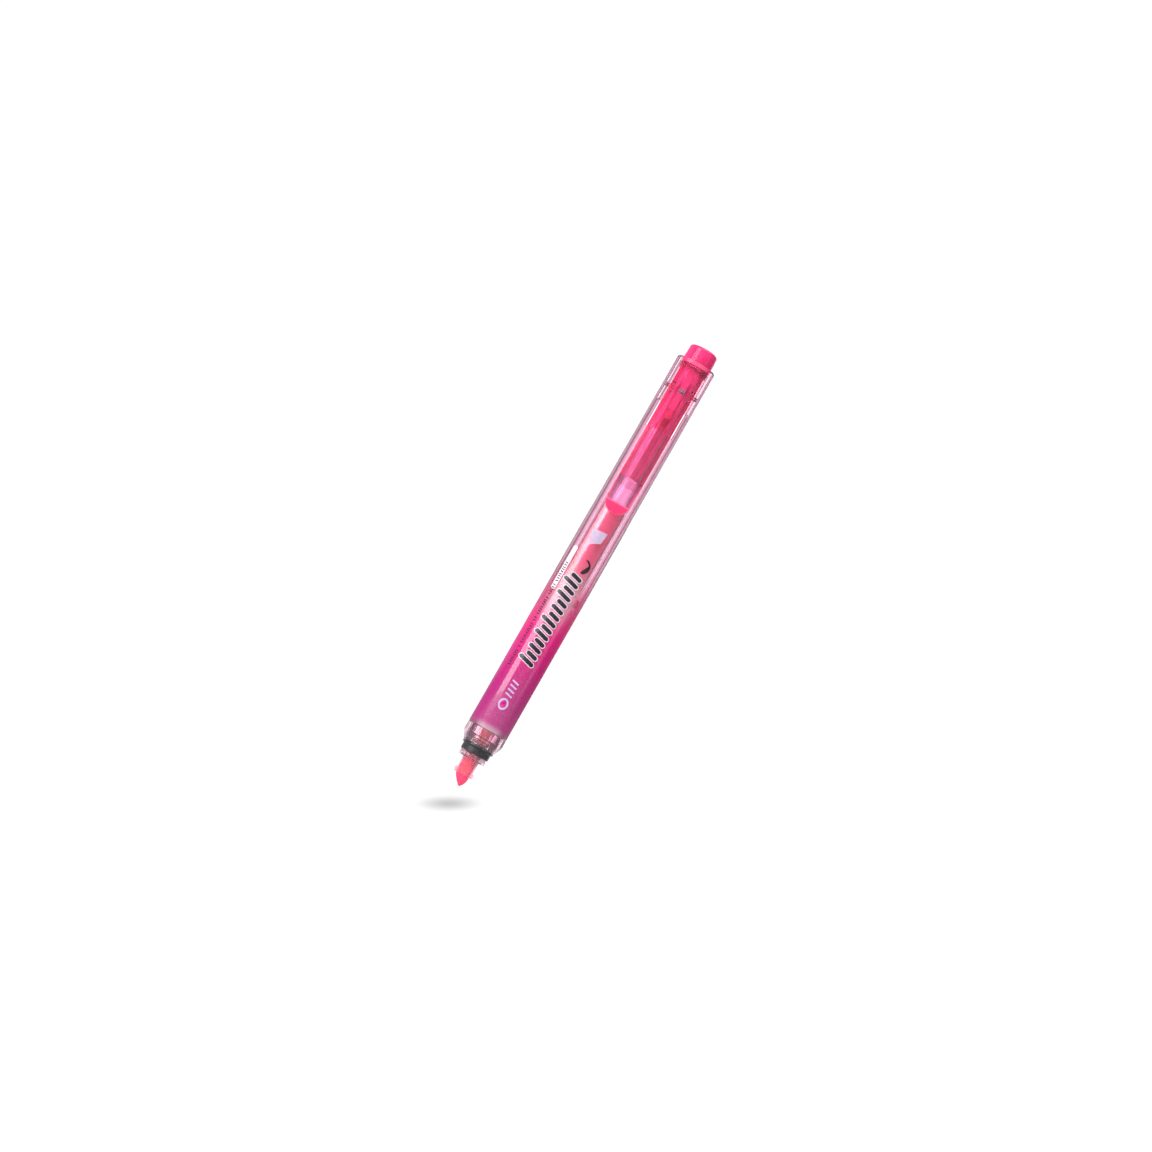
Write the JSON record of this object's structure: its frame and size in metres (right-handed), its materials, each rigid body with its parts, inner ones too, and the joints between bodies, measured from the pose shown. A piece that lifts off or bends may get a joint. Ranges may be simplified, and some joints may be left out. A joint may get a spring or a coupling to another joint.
{
  "type": "retractable highlighter",
  "caption": "Retractable highlighter pen with a clear barrel, lifting clip, push button, sliding cartridge and a hinged shutter over the mouth.",
  "frame": {"origin": "on the pen axis, at the plane where the nose cone meets the barrel, which is the front end of the round grip", "axes": "+Z along the pen axis towards the push button, -Y towards the side with the clip, +X to the right when the clip faces the viewer and the button is up"},
  "size_m": [0.0125, 0.0143, 0.1433],
  "materials": {
    "clear_plastic": "gloss",
    "smoked_plastic": "gloss",
    "clip_plastic": "gloss",
    "pink_plastic": "gloss",
    "black_rubber": "matte",
    "pink_felt": "matte",
    "ink_fibre": "matte",
    "steel": "satin"
  },
  "bodies": {
    "housing": {"barrel": "clear_plastic", "nose_cone": "clear_plastic", "front_seal": "black_rubber", "mouth_ring": "clear_plastic", "shutter_carrier": "smoked_plastic", "shutter_pin_front": "steel", "shutter_pin_back": "steel", "seal_sleeve": "smoked_plastic", "return_spring": "steel", "rear_collar": "clear_plastic", "clip_pin": "clip_plastic", "clip_spring": "steel", "latch_leaf": "clear_plastic"},
    "cartridge": {"nib": "pink_felt", "nib_holder": "clear_plastic", "holder_oring": "black_rubber", "ink_tube": "clear_plastic", "ink_core": "ink_fibre", "ink_tube_end_plug": "clear_plastic", "spring_collar": "pink_plastic", "knock_body": "pink_plastic", "knock_button": "pink_plastic"},
    "clip_arm": {"clip": "clip_plastic"},
    "leaf_front": {"shutter_leaf_front": "clear_plastic"},
    "leaf_back": {"shutter_leaf_back": "clear_plastic"}
  },
  "joints": [
    {"name": "knock_slide", "type": "slide", "parent": "housing", "child": "cartridge", "axis": [0, 0, 1], "range_m": [0, 0.015], "deforming": ["return_spring", "latch_leaf"]},
    {"name": "clip_hinge", "type": "hinge", "parent": "housing", "child": "clip_arm", "pos_m": [0, -0.0057, 0.111], "axis": [-1, 0, 0], "range_deg": [0, 10], "stiffness_Nm_per_rad": 0.05, "springref_deg": -5.73, "deforming": ["clip_spring"]},
    {"name": "shutter_front_hinge", "type": "hinge", "parent": "housing", "child": "leaf_front", "pos_m": [0, -0.0032, -0.00452], "axis": [1, 0, 0], "range_deg": [0, 50]},
    {"name": "shutter_back_hinge", "type": "hinge", "parent": "housing", "child": "leaf_back", "pos_m": [0, 0.0032, -0.00452], "axis": [-1, 0, 0], "range_deg": [0, 50]}
  ],
  "couplings": [
    {"joint": "shutter_front_hinge", "follows": "knock_slide", "rad_per_m": 58.177},
    {"joint": "shutter_back_hinge", "follows": "knock_slide", "rad_per_m": 58.177}
  ]
}
